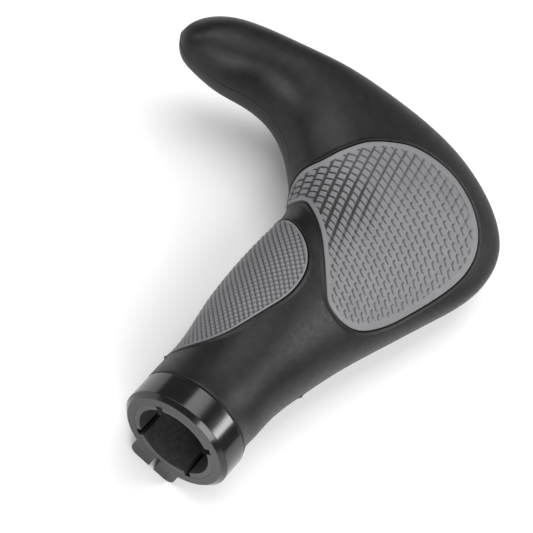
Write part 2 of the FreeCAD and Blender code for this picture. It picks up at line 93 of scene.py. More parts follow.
def skin_poles():
    """Control net of the cubic spline surface, section by section."""
    inner, outer = SECTIONS[:, 0:2], SECTIONS[:, 2:4]
    across = outer - inner
    across /= np.linalg.norm(across, axis=1)[:, None]
    inner_centre = np.column_stack([inner + across * SECTIONS[:, 6:7], SECTIONS[:, 4]])
    outer_centre = np.column_stack([outer - across * SECTIONS[:, 7:8], SECTIONS[:, 5]])
    angle = 2 * np.pi * np.arange(AROUND) / AROUND
    part_way = ((1 - np.cos(angle)) / 2) ** CROWN
    blend = (part_way ** 2 * (3 - 2 * part_way))[None, :, None]
    centre = inner_centre[:, None] * (1 - blend) + outer_centre[:, None] * blend
    radius = SECTIONS[:, None, 6:7] * (1 - blend) + SECTIONS[:, None, 7:8] * blend
    flat = -np.cos(angle)[None, :, None] * across[:, None]
    upright = np.broadcast_to(np.sin(angle)[None, :, None], flat.shape[:2] + (1,))
    points = centre + radius * np.concatenate([flat, upright], axis=2)
    rows = points - (np.roll(points, 1, 1) - 2 * points + np.roll(points, -1, 1)) / 6
    poles = rows.copy()
    poles[1:-1] = rows[1:-1] - (rows[:-2] - 2 * rows[1:-1] + rows[2:]) / 6
    return poles


POLES = skin_poles()
KNOTS = np.concatenate([[0] * 3, np.arange(U_END + 1), [U_END] * 3]).astype(float)


def clamped_basis(u):
    """Cubic basis functions along the grip, one row for each value of u."""
    u = np.clip(u, 0, U_END - 1e-9)
    basis = ((KNOTS[:-1] <= u[:, None]) & (u[:, None] < KNOTS[1:])).astype(float)
    for degree in range(1, 4):
        low, high = KNOTS[:-degree - 1], KNOTS[degree + 1:]
        left_span = np.maximum(KNOTS[degree:-1] - low, 1e-12)
        right_span = np.maximum(high - KNOTS[1:-degree], 1e-12)
        left = (u[:, None] - low) / left_span * basis[:, :-1]
        right = (high - u[:, None]) / right_span * basis[:, 1:]
        left[:, KNOTS[degree:-1] == low] = 0
        right[:, high == KNOTS[1:-degree]] = 0
        basis = left + right
    return basis


def periodic_basis(v):
    """Uniform cubic basis functions round the grip, where v runs from 0 to AROUND."""
    cell = np.floor(v).astype(int)
    t = v - cell
    weights = [(1 - t) ** 3 / 6, (3 * t ** 3 - 6 * t ** 2 + 4) / 6,
               (-3 * t ** 3 + 3 * t ** 2 + 3 * t + 1) / 6, t ** 3 / 6]
    basis = np.zeros((len(v), AROUND))
    rows = np.arange(len(v))
    for k, weight in enumerate(weights):
        np.add.at(basis, (rows, (cell - 1 + k) % AROUND), weight)
    return basis


def skin(uv):
    """Points of the smooth outer surface, in millimetres. uv holds u and the angle in degrees."""
    result = np.empty((len(uv), 3))
    for start in range(0, len(uv), SKIN_BATCH):
        part = uv[start:start + SKIN_BATCH]
        along = clamped_basis(part[:, 0])
        around = periodic_basis(part[:, 1] / 360 * AROUND)
        rows = np.tensordot(along, POLES, (1, 0))
        result[start:start + SKIN_BATCH] = np.einsum("nj,njk->nk", around, rows)
    return result


def skin_normals(uv):
    step_u, step_v = 1e-3, 1e-2
    uv_low, uv_high = uv - (step_u, 0), uv + (step_u, 0)
    along = skin(uv_high) - skin(uv_low)
    around = skin(uv + (0, step_v)) - skin(uv - (0, step_v))
    normal = np.cross(around, along)
    return normal / np.linalg.norm(normal, axis=1)[:, None]


# ------------------------------------------------------------------------------------------
# Outlines of the soft pads on that surface, as (u, angle) points with a smooth closed curve
# ------------------------------------------------------------------------------------------
PALM_OUTLINE = [
    (6.32, 28), (5.95, 40), (5.34, 58), (4.85, 72), (4.4, 87), (4.14, 100), (4.15, 117),
    (4.4, 131), (4.9, 137.5), (5.6, 136), (6.5, 131.5), (7.3, 127.5), (8.0, 122.5),
    (8.65, 118), (9.1, 111.5), (9.38, 99), (9.36, 87), (9.15, 72), (8.7, 56), (8.2, 38),
    (7.95, 15), (7.6, -5), (7.15, -14), (6.75, -6), (6.5, 10),
]
FINGER_OUTLINE = [
    (1.16, 0), (1.22, 20), (1.55, 41), (2.1, 58), (2.8, 70), (3.6, 77.5), (4.2, 74.5),
    (4.65, 65), (5.05, 49), (5.4, 28), (5.55, 5), (5.45, -18), (5.1, -42), (4.5, -58),
    (3.6, -66), (2.6, -58), (1.8, -42), (1.3, -22),
]
OUTLINE_STEPS = 16           # points on the curve from one outline point to the next
DISTANCE_BATCH = 2000
MEASURED_REACH = 12          # millimetres
BEYOND_REACH = 99.0          # distance given to points that aren't measured
SKIN_SCALE = np.array([8.0, 0.25])   # roughly the millimetres in one step of u and in one degree


class Outline:
    """Closed curve on the skin, with the distance to it: positive outside, negative inside."""

    def __init__(self, points):
        points = np.array(points, float)
        before, after = np.roll(points, 1, 0), np.roll(points, -1, 0)
        beyond = np.roll(points, -2, 0)
        curve = []
        for step in range(OUTLINE_STEPS):
            t = step / OUTLINE_STEPS
            curve.append((2 * points + (after - before) * t
                          + (2 * before - 5 * points + 4 * after - beyond) * t ** 2
                          + (3 * points - before - 3 * after + beyond) * t ** 3) / 2)
        self.uv = np.stack(curve, 1).reshape(-1, 2)
        self.xyz = skin(self.uv)
        self.low, self.high = self.uv.min(0), self.uv.max(0)

    def inside(self, uv):
        result = np.zeros(len(uv), bool)
        for a, b in zip(self.uv, np.roll(self.uv, -1, 0)):
            if a[1] == b[1]:
                continue
            crosses = (a[1] > uv[:, 1]) != (b[1] > uv[:, 1])
            where = a[0] + (uv[:, 1] - a[1]) / (b[1] - a[1]) * (b[0] - a[0])
            result ^= crosses & (uv[:, 0] < where)
        return result

    def distance(self, uv, reach=None):
        """Distance in millimetres. With reach, points further out than that aren't measured."""
        uv = np.column_stack([uv[:, 0], (uv[:, 1] + 180) % 360 - 180])
        result = np.full(len(uv), BEYOND_REACH)
        near = np.ones(len(uv), bool)
        if reach:
            margin = np.array([reach / 4, reach * 6])
            near = np.all((uv > self.low - margin) & (uv < self.high + margin), axis=1)
        points = skin(uv[near])
        starts, ends = self.xyz, np.roll(self.xyz, -1, 0)
        spans = ends - starts
        lengths = (spans ** 2).sum(1)
        nearest = np.empty(len(points))
        for begin in range(0, len(points), DISTANCE_BATCH):
            part = points[begin:begin + DISTANCE_BATCH, None]
            t = np.clip(((part - starts) * spans).sum(2) / lengths, 0, 1)
            gap = part - starts - t[..., None] * spans
            nearest[begin:begin + DISTANCE_BATCH] = np.sqrt((gap ** 2).sum(2).min(1))
        result[near] = np.where(self.inside(uv[near]), -nearest, nearest)
        return result


palm_edge = Outline(PALM_OUTLINE)
finger_edge = Outline(FINGER_OUTLINE)


# ------------------------------------------------------------------------------------------
# Meshes on the skin: faces over (u, angle) points, cut along lines of equal distance
# ------------------------------------------------------------------------------------------
CUT_MARGIN = 2.5             # faces this much further out than the last level are never cut


class Patch:
    """Faces over (u, angle) points, each point with its distance to an outline."""

    def __init__(self, uv, faces, outline, marks=None):
        self.uv = np.array(uv, float)
        self.faces = [tuple(int(k) for k in face) for face in faces]
        self.outline = outline
        self.gap = outline.distance(self.uv, MEASURED_REACH)
        self.marks = np.zeros((len(self.uv), 1)) if marks is None else marks

    def snap(self, level, reach):
        """Moves points that nearly lie on the level onto it, so that no slivers are cut."""
        near = np.nonzero(np.abs(self.gap - level) < reach)[0]
        if not len(near):
            return
        uv = self.uv[near]
        step = np.array([0.002, 0.05])
        slope = np.stack([(self.outline.distance(uv + (step[0], 0)) - self.gap[near]) / step[0],
                          (self.outline.distance(uv + (0, step[1])) - self.gap[near]) / step[1]], 1)
        slope /= SKIN_SCALE
        move = (level - self.gap[near])[:, None] * slope / (slope ** 2).sum(1)[:, None]
        self.uv[near] = uv + move / SKIN_SCALE
        self.gap[near] = level

    def cut(self, level):
        """Splits every face that the level line crosses."""
        gap, made, new = self.gap, {}, []

        def crossing(a, b):
            low, high = min(a, b), max(a, b)
            if (low, high) not in made:
                made[(low, high)] = len(gap) + len(new)
                new.append((low, high, (level - gap[low]) / (gap[high] - gap[low])))
            return made[(low, high)]

        faces = []
        for face in self.faces:
            values = [gap[k] for k in face]
            if max(values) <= level or min(values) >= level:
                faces.append(face)
                continue
            below, above = [], []
            for k, here in enumerate(face):
                there = face[(k + 1) % len(face)]
                side = gap[here] - level
                if side <= 0:
                    below.append(here)
                if side >= 0:
                    above.append(here)
                if side * (gap[there] - level) < 0:
                    point = crossing(here, there)
                    below.append(point)
                    above.append(point)
            faces += [tuple(part) for part in (below, above) if len(part) > 2]
        self.faces = faces
        if new:
            low, high, share = (np.array(column) for column in zip(*new))
            share = share[:, None]
            for name in ("uv", "marks"):
                values = getattr(self, name)
                between = values[low] * (1 - share) + values[high] * share
                setattr(self, name, np.concatenate([values, between]))
            self.gap = np.concatenate([gap, np.full(len(new), float(level))])

    def cut_levels(self, levels, reach):
        """Cuts at each level. Faces well away from the outline are put aside meanwhile."""
        far = max(abs(level) for level in levels) + CUT_MARGIN
        nearest = [min(abs(self.gap[k]) for k in face) for face in self.faces]
        aside = [face for face, gap in zip(self.faces, nearest) if gap > far]
        self.faces = [face for face, gap in zip(self.faces, nearest) if gap <= far]
        for level in levels:
            self.snap(level, reach)
            self.cut(level)
        self.faces += aside

    def side(self, level, above):
        """The faces above or below a level that has been cut."""
        return [face for face in self.faces
                if (sum(self.gap[k] for k in face) / len(face) > level) == above]


def boundary_loop(faces):
    """The longest loop of edges that belong to one face only, as points in order."""
    edges = set()
    for face in faces:
        edges.update(zip(face, face[1:] + face[:1]))
    follow = {a: b for a, b in edges if (b, a) not in edges}
    loops = []
    while follow:
        here = next(iter(follow))
        loop = []
        while here in follow:
            loop.append(here)
            here = follow.pop(here)
        loops.append(loop)
    return max(loops, key=len)


class Shell:
    """Collects the points and faces of one mesh, in millimetres."""

    def __init__(self):
        self.points, self.marks, self.faces, self.count = [], [], [], 0

    def add(self, points, marks=0.0):
        """Adds points and returns their numbers."""
        self.points.append(np.asarray(points, float))
        self.marks.append(np.zeros(len(points)) + marks)
        self.count += len(points)
        return np.arange(self.count - len(points), self.count)

    def lay(self, faces, numbers):
        self.faces += [[numbers[k] for k in face] for face in faces]

    def bridge(self, first, second):
        """Band of faces between two loops with the same number of points."""
        for k in range(len(first)):
            after = (k + 1) % len(first)
            self.faces.append([first[k], first[after], second[after], second[k]])

    def cap(self, loop, centre):
        middle = self.add([centre])[0]
        for k in range(len(loop)):
            self.faces.append([loop[k], loop[(k + 1) % len(loop)], middle])

    def build(self, name, mark_name=None):
        points = np.concatenate(self.points) * MM
        used = np.zeros(len(points), bool)
        for face in self.faces:
            used[face] = True
        number = (np.cumsum(used) - 1).tolist()
        mesh = bpy.data.meshes.new(name)
        faces = [[number[k] for k in face] for face in self.faces]
        mesh.from_pydata(points[used].tolist(), [], faces)
        if mark_name:
            layer = mesh.attributes.new(mark_name, "FLOAT", "POINT")
            layer.data.foreach_set("value", np.concatenate(self.marks)[used].astype(np.float32))
        tidy = bmesh.new()
        tidy.from_mesh(mesh)
        bmesh.ops.recalc_face_normals(tidy, faces=tidy.faces)
        tidy.to_mesh(mesh)
        tidy.free()
        mesh.polygons.foreach_set("use_smooth", [True] * len(mesh.polygons))
        item = bpy.data.objects.new(name, mesh)
        bpy.context.scene.collection.objects.link(item)
        return item


def smooth_step(low, high, value):
    t = np.clip((value - low) / (high - low), 0, 1)
    return t * t * (3 - 2 * t)


def quarter_round(share):
    """0 up to share 0, and down to 1 at share 1, as a quarter circle does."""
    return 1 - np.sqrt(1 - np.clip(share, 0, 1) ** 2)


# ------------------------------------------------------------------------------------------
# Rubber body: the skin, with a rounded lip and a pocket for each pad
# ------------------------------------------------------------------------------------------
POCKET_DEPTH = 1.6
POCKET_WALL = 0.14           # the pocket's wall stands this far outside the pad's outline
LIP_RISE = 0.3
LIP_ROUND = 0.28
LIP_FALL = 0.42
LIP_WIDTH = 1.3
SNAP_REACH = 0.025
INBOARD_FACE = 9.0
LIP_LEVELS = [POCKET_WALL, 0.2, 0.28, POCKET_WALL + LIP_ROUND, 0.72, LIP_WIDTH]
END_ROUND = 0.9
END_DROP = 0.7 * END_ROUND
PARTING_RISE = 0.14
PARTING_HALF_WIDTH = 1.4     # degrees
FLASH_SPOTS = [(1.05, 0.0), (2.87, 180.0)]
FLASH_RISE = 0.45
FLASH_LENGTH = 0.05          # in u
FLASH_SPREAD = 2.2           # degrees
PARTING_FAINT = 0.35         # the line's share of its rise, before it reaches the horn
PARTING_HORN = (8.3, 9.3)    # u where it grows to its full rise
TIP_DOME = 1.3
TIP_RINGS = 8
FLANGE_RADIUS = 15.0
FLANGE_END = 10.5
SLEEVE_RADIUS = 12.7
SLEEVE_END = 96.0
GRID_ALONG = 300
GRID_AROUND = 184
END_ROWS = [0, 0.01, 0.025, 0.045, 0.07, 0.1, 0.14, 0.19, 0.25, 0.32]    # u, inboard end
EVEN_ROWS_START = 0.38
PARTING_COLUMNS = PARTING_HALF_WIDTH * np.array([-1.6, -1, -0.5, 0, 0.5, 1, 1.6])


def lip_height(gap):
    rise = LIP_RISE * (1 - smooth_step(POCKET_WALL + LIP_ROUND, LIP_WIDTH, gap))
    return rise - LIP_FALL * quarter_round((POCKET_WALL + LIP_ROUND - gap) / LIP_ROUND)


def mould_marks(uv):
    """Parting line along both edges of the body, and two small nubs of flash on it."""
    off_front = np.abs(uv[:, 1])
    off_edge = np.minimum(off_front, 180 - off_front)
    strength = PARTING_FAINT + (1 - PARTING_FAINT) * smooth_step(*PARTING_HORN, uv[:, 0])
    ridge = PARTING_RISE * strength * np.clip(1 - off_edge / PARTING_HALF_WIDTH, 0, 1)
    for u, angle in FLASH_SPOTS:
        across = np.abs((uv[:, 1] - angle + 180) % 360 - 180)
        along = (uv[:, 0] - u) / FLASH_LENGTH
        ridge += FLASH_RISE * np.exp(-along ** 2 - (across / FLASH_SPREAD) ** 2)
    return ridge


def body_height(uv, points, gaps):
    height = sum(lip_height(gap) for gap in gaps) + mould_marks(uv)
    return height - END_DROP * quarter_round(1 - (points[:, 0] - INBOARD_FACE) / END_ROUND)


def body_grid():
    """(u, angle) points in rows, closer together at the inboard end and beside the parting line."""
    along = np.concatenate([END_ROWS, np.linspace(EVEN_ROWS_START, U_END, GRID_ALONG)])
    even = np.linspace(-180, 180, GRID_AROUND, endpoint=False)
    off_edge = np.minimum(np.abs(even), 180 - np.abs(even))
    around = np.concatenate([even[off_edge > PARTING_HALF_WIDTH * 2], PARTING_COLUMNS,
                             (180 + PARTING_COLUMNS + 180) % 360 - 180])
    around.sort()
    rows, columns = len(along), len(around)
    uv = np.stack(np.meshgrid(along, around, indexing="ij"), -1).reshape(-1, 2)
    faces = [(a * columns + b, (a + 1) * columns + b,
              (a + 1) * columns + (b + 1) % columns, a * columns + (b + 1) % columns)
             for a in range(rows - 1) for b in range(columns)]
    return uv, faces, columns


def ring_like(points, x, radius):
    """Points round the bar's axis, in the directions of the given ones."""
    across = points[:, 1:] / np.linalg.norm(points[:, 1:], axis=1)[:, None]
    return np.column_stack([np.full(len(points), float(x)), across * radius])


def build_rubber_body():
    uv, faces, columns = body_grid()
    last_row = len(uv) - columns
    patch = Patch(uv, faces, palm_edge)
    patch.cut_levels(LIP_LEVELS, SNAP_REACH)
    palm_gap, count = patch.gap, len(patch.gap)
    patch = Patch(patch.uv, patch.faces, finger_edge)
    patch.cut_levels(LIP_LEVELS, SNAP_REACH)
    new_gap = palm_edge.distance(patch.uv[count:], MEASURED_REACH)
    palm_gap = np.concatenate([palm_gap, new_gap])

    smooth, normal = skin(patch.uv), skin_normals(patch.uv)
    height = body_height(patch.uv, smooth, (palm_gap, patch.gap))
    shell = Shell()
    top = shell.add(smooth + normal * height[:, None])
    floor = shell.add(smooth - normal * POCKET_DEPTH)
    middle = shell.add(smooth - normal * POCKET_DEPTH / 2)
    for gap in (palm_gap, patch.gap):
        patch.gap = gap
        pocket = patch.side(POCKET_WALL, above=False)
        shell.lay(pocket, floor)
        loop = boundary_loop(pocket)
        shell.bridge(middle[loop], floor[loop])
        shell.bridge(top[loop], middle[loop])
        patch.faces = patch.side(POCKET_WALL, above=True)
    shell.lay(patch.faces, top)

    # The inboard end runs in round the sleeve's flange and along the sleeve to a blind end.
    start = top[:columns]
    edge = np.concatenate(shell.points)[start]
    for x, radius in ((INBOARD_FACE, FLANGE_RADIUS), (FLANGE_END, FLANGE_RADIUS),
                      (FLANGE_END, SLEEVE_RADIUS), (SLEEVE_END, SLEEVE_RADIUS)):
        following = shell.add(ring_like(edge, x, radius))
        shell.bridge(start, following)
        start = following
    shell.cap(start, (SLEEVE_END, 0, 0))

    # The horn's end closes in a low dome.
    across = SECTIONS[-1, 2:4] - SECTIONS[-1, 0:2]
    across /= np.linalg.norm(across)
    outward = np.array([-across[1], across[0], 0])
    start = top[last_row:last_row + columns]
    rim = np.concatenate(shell.points)[start]
    centre = rim.mean(0)
    for k in range(1, TIP_RINGS):
        inward = k / TIP_RINGS
        rise = TIP_DOME * (2 * inward - inward ** 2)
        following = shell.add(rim + (centre - rim) * inward + outward * rise)
        shell.bridge(start, following)
        start = following
    shell.cap(start, centre + outward * TIP_DOME)
    return shell.build("rubber_body_skin")


# ------------------------------------------------------------------------------------------
# Soft pads: a grid that follows the relief, a smooth border, a side wall and a plain underside
# ------------------------------------------------------------------------------------------
PAD_PROUD = 0.2
PAD_SIDE = -0.1              # the pad's side stands this far inside its outline
PAD_ROUND = 0.35
PAD_UNDERSIDE = -1.5
BORDER_SLOPE = 0.35
PALM_BORDER = 1.4
FINGER_BORDER = 0.6
UNDERSIDE_SPACING = 2.5


def follow_lattice(outline, lattice, steps):
    """(u, angle) points where both of the relief's coordinates are whole numbers of steps."""
    margin = np.array([0.35, 8])
    low, high = outline.low - margin, outline.high + margin
    sample = np.stack(np.meshgrid(np.linspace(low[0], high[0], 80),
                                  np.linspace(low[1], high[1], 90), indexing="ij"), -1)
    sample = sample.reshape(-1, 2)
    close = outline.distance(sample) < 1.5
    sample = sample[close]
    value = lattice(sample, skin(sample)) * steps
    tree = KDTree(len(sample))
    for k, place in enumerate(value):
        tree.insert((place[0], place[1], 0), k)
    tree.balance()
    first, last = np.floor(value.min(0)).astype(int), np.ceil(value.max(0)).astype(int)
    index = np.stack(np.meshgrid(np.arange(first[0], last[0] + 1),
                                 np.arange(first[1], last[1] + 1), indexing="ij"), -1)
    shape = index.shape[:2]
    index = index.reshape(-1, 2)
    found = [tree.find((a, b, 0)) for a, b in index.tolist()]
    near = np.array([hit[2] < 0.5 * steps for hit in found])
    kept = np.nonzero(near)[0]
    uv = sample[[found[k][1] for k in kept]]
    goal = index[kept] / steps
    step_u, step_v = np.array([1e-3, 0]), np.array([0, 1e-2])
    for _ in range(7):
        here = lattice(uv, skin(uv))
        along = (lattice(uv + step_u, skin(uv + step_u)) - here) / step_u[0]
        around = (lattice(uv + step_v, skin(uv + step_v)) - here) / step_v[1]
        miss = goal - here
        scale = along[:, 0] * around[:, 1] - along[:, 1] * around[:, 0]
        move = np.column_stack([miss[:, 0] * around[:, 1] - miss[:, 1] * around[:, 0],
                                along[:, 0] * miss[:, 1] - along[:, 1] * miss[:, 0]])
        uv = uv + np.clip(move / scale[:, None], (-0.3, -6), (0.3, 6))
    right = np.abs(lattice(uv, skin(uv)) - goal).max(1) < 1e-4
    kept, uv = kept[right], uv[right]
    number = np.full(len(index), -1)
    number[kept] = np.arange(len(kept))
    number = number.reshape(shape)
    corners = np.stack([number[:-1, :-1], number[1:, :-1], number[1:, 1:], number[:-1, 1:]], -1)
    corners = corners.reshape(-1, 4)
    corners = corners[(corners >= 0).all(1)]
    # Every cell is split from its first corner to its third, the way the scales' edges run.
    faces = np.concatenate([corners[:, [0, 1, 2]], corners[:, [0, 2, 3]]])
    return uv, faces, index[kept]


def build_pad(name, outline, lattice, steps, relief, border, margin_extra):
    """relief takes each point's place in the lattice and on the skin, and gives a depth.

    The border is plain. margin_extra takes the points, and says how much wider it is there.
    """
    uv, faces, index = follow_lattice(outline, lattice, steps)
    points = skin(uv)
    depth = relief(index, points)
    patch = Patch(uv, faces, outline, depth[:, None])
    inside = -patch.gap
    patch.faces = [face for face in patch.faces if max(inside[k] for k in face) > -0.3]
    patch.cut_levels([PAD_SIDE, -0.16, -0.26, PAD_SIDE - PAD_ROUND, -border,
                      -border - BORDER_SLOPE / 2, -border - BORDER_SLOPE], 0.02)
    patch.faces = patch.side(PAD_SIDE, above=False)

    inside = -patch.gap
    smooth, normal = skin(patch.uv), skin_normals(patch.uv)
    margin = border + margin_extra(smooth)
    depth = patch.marks[:, 0] * smooth_step(0, BORDER_SLOPE, inside - margin)
    edge_drop = PAD_ROUND * quarter_round((PAD_ROUND - PAD_SIDE - inside) / PAD_ROUND)
    height = PAD_PROUD - edge_drop - depth
    shell = Shell()
    # Each point also keeps 1 less its groove depth and edge drop as the "relief" attribute; the pad
    # material paints shade from it in the grooves and on the rounded edge.
    top = shell.add(smooth + normal * height[:, None], 1 - depth - edge_drop)
    shell.lay(patch.faces, top)
    loop = boundary_loop(patch.faces)
    side = shell.add(smooth[loop] + normal[loop] * PAD_UNDERSIDE)
    shell.bridge(side, top[loop])

    # Underside: a coarse net inside the same loop.
    flat = patch.uv[loop] * SKIN_SCALE
    low, high = flat.min(0), flat.max(0)
    inner = np.stack(np.meshgrid(np.arange(low[0], high[0], UNDERSIDE_SPACING),
                                 np.arange(low[1], high[1], UNDERSIDE_SPACING),
                                 indexing="ij"), -1).reshape(-1, 2)
    inner = inner[outline.distance(inner / SKIN_SCALE) < -1]
    net = delaunay_2d_cdt([Vector(p) for p in np.concatenate([flat, inner])], [],
                          [list(range(len(loop)))], 1, 1e-7)
    net_uv = np.array(net[0]) / SKIN_SCALE
    under = shell.add(skin(net_uv) + skin_normals(net_uv) * PAD_UNDERSIDE)
    for k, origins in enumerate(net[3]):
        if origins and origins[0] < len(loop):
            under[k] = side[origins[0]]
    shell.lay(net[2], under)
    return shell.build(name, "relief")


# Palm pad. Its relief is a lattice of overlapping scales: P counts along a row's steps, Q counts
# the columns. Both are smooth functions of place, measured from the middle of the palm.
PALM_MIDDLE = np.array([88, -5, 13])
CROOK_RADIUS = 14.0
CROOK_FORWARD = np.array([-0.3, 0.95])
SCALE_STEPS = 15
SCALE_BEND = 9
SCALE_START = 6
SCALE_DEPTH = 0.55
SCALE_RIM = 0.08
GROOVE_HALF = 1.45           # in steps of the lattice, as are the next four
RUN_WIDER = 0.3              # how much wider a run's groove is among the blocks of the crook
CHANNEL_PLACE = 13.5
RIM_OFF = 3
RIM_HALF = 0.6
BLOCK_EXTRA_DEPTH = 0.2


def palm_lattice(uv, points):
    """P and Q. On the crook's wall, the surface is unrolled forward first."""
    turned = np.radians(np.clip(90 - uv[:, 1], 0, None))
    unrolled = CROOK_RADIUS * (turned - np.sin(turned))
    x, y, z = (points - PALM_MIDDLE).T
    x = x + unrolled * CROOK_FORWARD[0]
    y = y + unrolled * CROOK_FORWARD[1]
    p = 0.366 * x + 0.209 * y + 0.176 * z - 0.00105 * x * x + 0.0017 * x * y + 0.0028 * y * y
    q = -0.078 * x + 0.332 * y + 0.076 * z + 0.00086 * x * x - 0.0001 * x * y + 0.00023 * y * y
    return np.column_stack([p, q])


def groove(steps_off, half_width):
    """1 in the middle of a groove and 0 beside it."""
    return np.clip((half_width + 0.6 - np.abs(steps_off)) / 1.2, 0, 1)


def palm_relief(index, points):
    """Depth in millimetres. Separate hooked cuts over the palm join into a net in the crook.

    Each hook has a straight run, slanting across a row, and a bent end along the columns. In the
    net, the straight runs become the grooves between blocks, and the bent ends the channels.
    """
    x, y = points[:, 0], points[:, 1]
    row = (index[:, 0] - SCALE_START) % SCALE_STEPS
    column = -index[:, 1] % SCALE_STEPS
    netted = smooth_step(0, 1, (y + 0.11 * (x - 74) + 5) / 14)
    joined = np.maximum(netted, 0.5 * smooth_step(106, 115, x))

    blocky = netted * smooth_step(98, 84, x)

    slant = 1 - 0.6 * smooth_step(4, 16, y)
    slanted = row - SCALE_BEND + slant * (column + 1.5)
    off_run = (slanted + SCALE_STEPS / 2) % SCALE_STEPS - SCALE_STEPS / 2
    in_run = smooth_step(0, 1.3, row) * (row < SCALE_BEND)
    run_weight = np.maximum(in_run, joined)

    off_channel = column - CHANNEL_PLACE + SCALE_STEPS * (column < 5)
    in_hook = smooth_step(15, 13.6, row) * (row >= SCALE_BEND)
    channel_weight = np.maximum(in_hook, joined)

    run = groove(off_run, GROOVE_HALF + RUN_WIDER * blocky) * run_weight
    channel = groove(off_channel, GROOVE_HALF + blocky) * channel_weight
    rim = np.maximum(groove(off_run - RIM_OFF, RIM_HALF) * run_weight,
                     groove(off_channel - RIM_OFF, RIM_HALF) * channel_weight)
    cut = np.maximum(run, channel)
    return cut * (SCALE_DEPTH + BLOCK_EXTRA_DEPTH * blocky) + (1 - cut) * (1 - rim) * SCALE_RIM


def palm_margin(points):
    """The smooth border is wider at the heel of the palm and at the outboard side."""
    x, y = points[:, 0], points[:, 1]
    return 0.8 * np.maximum(smooth_step(-8, -22, y), smooth_step(106, 118, x))


# Finger pad. Two families of grooves cross on the round neck, and leave small pyramids.
NECK_RADIUS = 17.5
RIDGE_STEP = np.array([1.1, 0.85])
CROSS_STEP = np.array([-1.0, 0.95])
RIDGE_STEPS = 8
RIDGE_DEPTH = 0.62
RIDGE_ROUND = 0.55           # less than 1 flattens the ridges' tops
CROSS_SHARE = 0.7            # the cross grooves' depth, as a share of the others'


def finger_lattice(uv, points):
    """Counts of ridges and of cross grooves, on the neck unrolled about the bar's axis."""
    round_neck = NECK_RADIUS * np.arctan2(points[:, 2], points[:, 1])
    flat = np.column_stack([points[:, 0], round_neck])
    return flat @ np.linalg.inv(np.column_stack([RIDGE_STEP, CROSS_STEP])).T


def finger_relief(index, points):
    ridge = np.sin(np.pi * (index[:, 0] % RIDGE_STEPS) / RIDGE_STEPS) ** RIDGE_ROUND
    cross = np.sin(np.pi * (index[:, 1] % RIDGE_STEPS) / RIDGE_STEPS) ** RIDGE_ROUND
    round_neck = NECK_RADIUS * np.arctan2(points[:, 2], points[:, 1])
    crossed = smooth_step(1, 9, round_neck)
    return RIDGE_DEPTH * (1 - ridge * (1 - CROSS_SHARE * crossed * (1 - cross)))


rubber_body = build_rubber_body()
palm_pad = build_pad("palm_pad_relief", palm_edge, palm_lattice, SCALE_STEPS, palm_relief,
                     PALM_BORDER, palm_margin)
finger_pad = build_pad("finger_pad_relief", finger_edge, finger_lattice, RIDGE_STEPS,
                       finger_relief, FINGER_BORDER, lambda points: 0)


# ------------------------------------------------------------------------------------------
# Materials
# ------------------------------------------------------------------------------------------
class Finish:
    """A Principled material with a few helpers for the nodes that feed it."""

    def __init__(self, name, colour, roughness, metallic=0.0):
        self.material = bpy.data.materials.new(name)
        self.material.use_nodes = True
        self.nodes = self.material.node_tree.nodes
        self.links = self.material.node_tree.links
        self.shader = next(node for node in self.nodes if node.type == "BSDF_PRINCIPLED")
        self.set("Base Color", (*colour, 1))
        self.set("Roughness", roughness)
        self.set("Metallic", metallic)
        self.material.diffuse_color = (*colour, 1)
        self.place = self.nodes.new("ShaderNodeTexCoord").outputs["Object"]

    def set(self, name, value):
        self.shader.inputs[name].default_value = value

    def link(self, output, name):
        self.links.new(output, self.shader.inputs[name])

    def stretched(self, scale):
        mapping = self.nodes.new("ShaderNodeMapping")
        mapping.inputs["Scale"].default_value = scale
        self.links.new(self.place, mapping.inputs["Vector"])
        return mapping.outputs["Vector"]

    def noise(self, scale, detail, vector=None):
        node = self.nodes.new("ShaderNodeTexNoise")
        node.inputs["Scale"].default_value = scale
        node.inputs["Detail"].default_value = detail
        self.links.new(vector or self.place, node.inputs["Vector"])
        return node.outputs["Fac"]

    def attribute(self, name):
        node = self.nodes.new("ShaderNodeAttribute")
        node.attribute_name = name
        return node.outputs["Fac"]

    def spread(self, value, low, high):
        """A number that follows the noise's middle part, as low to high."""
        node = self.nodes.new("ShaderNodeMapRange")
        settings = {"From Min": 0.3, "From Max": 0.7, "To Min": low, "To Max": high}
        for name, number in settings.items():
            node.inputs[name].default_value = number
        self.links.new(value, node.inputs["Value"])
        return node.outputs["Result"]

    def colours(self, value, stops):
        node = self.nodes.new("ShaderNodeValToRGB")
        ramp = node.color_ramp.elements
        while len(ramp) < len(stops):
            ramp.new(0.5)
        for element, (position, colour) in zip(ramp, stops):
            element.position = position
            element.color = (*colour, 1)
        self.links.new(value, node.inputs["Fac"])
        return node.outputs["Color"]

    def multiply(self, colour, factor):
        node = self.nodes.new("ShaderNodeMix")
        node.data_type = "RGBA"
        node.blend_type = "MULTIPLY"
        node.inputs["Factor"].default_value = 1
        self.links.new(colour, node.inputs[6])
        self.links.new(factor, node.inputs[7])
        return node.outputs[2]

    def soft_edge(self, radius):
        """A normal that rounds sharp edges a little."""
        node = self.nodes.new("ShaderNodeBevel")
        node.samples = 6
        node.inputs["Radius"].default_value = radius
        return node.outputs["Normal"]

    def bump(self, value, distance, strength, over=None):
        node = self.nodes.new("ShaderNodeBump")
        node.inputs["Distance"].default_value = distance
        node.inputs["Strength"].default_value = strength
        self.links.new(value, node.inputs["Height"])
        if over:
            self.links.new(over, node.inputs["Normal"])
        return node.outputs["Normal"]


def grey(level, blue=1.0):
    return (level, level, level * blue)


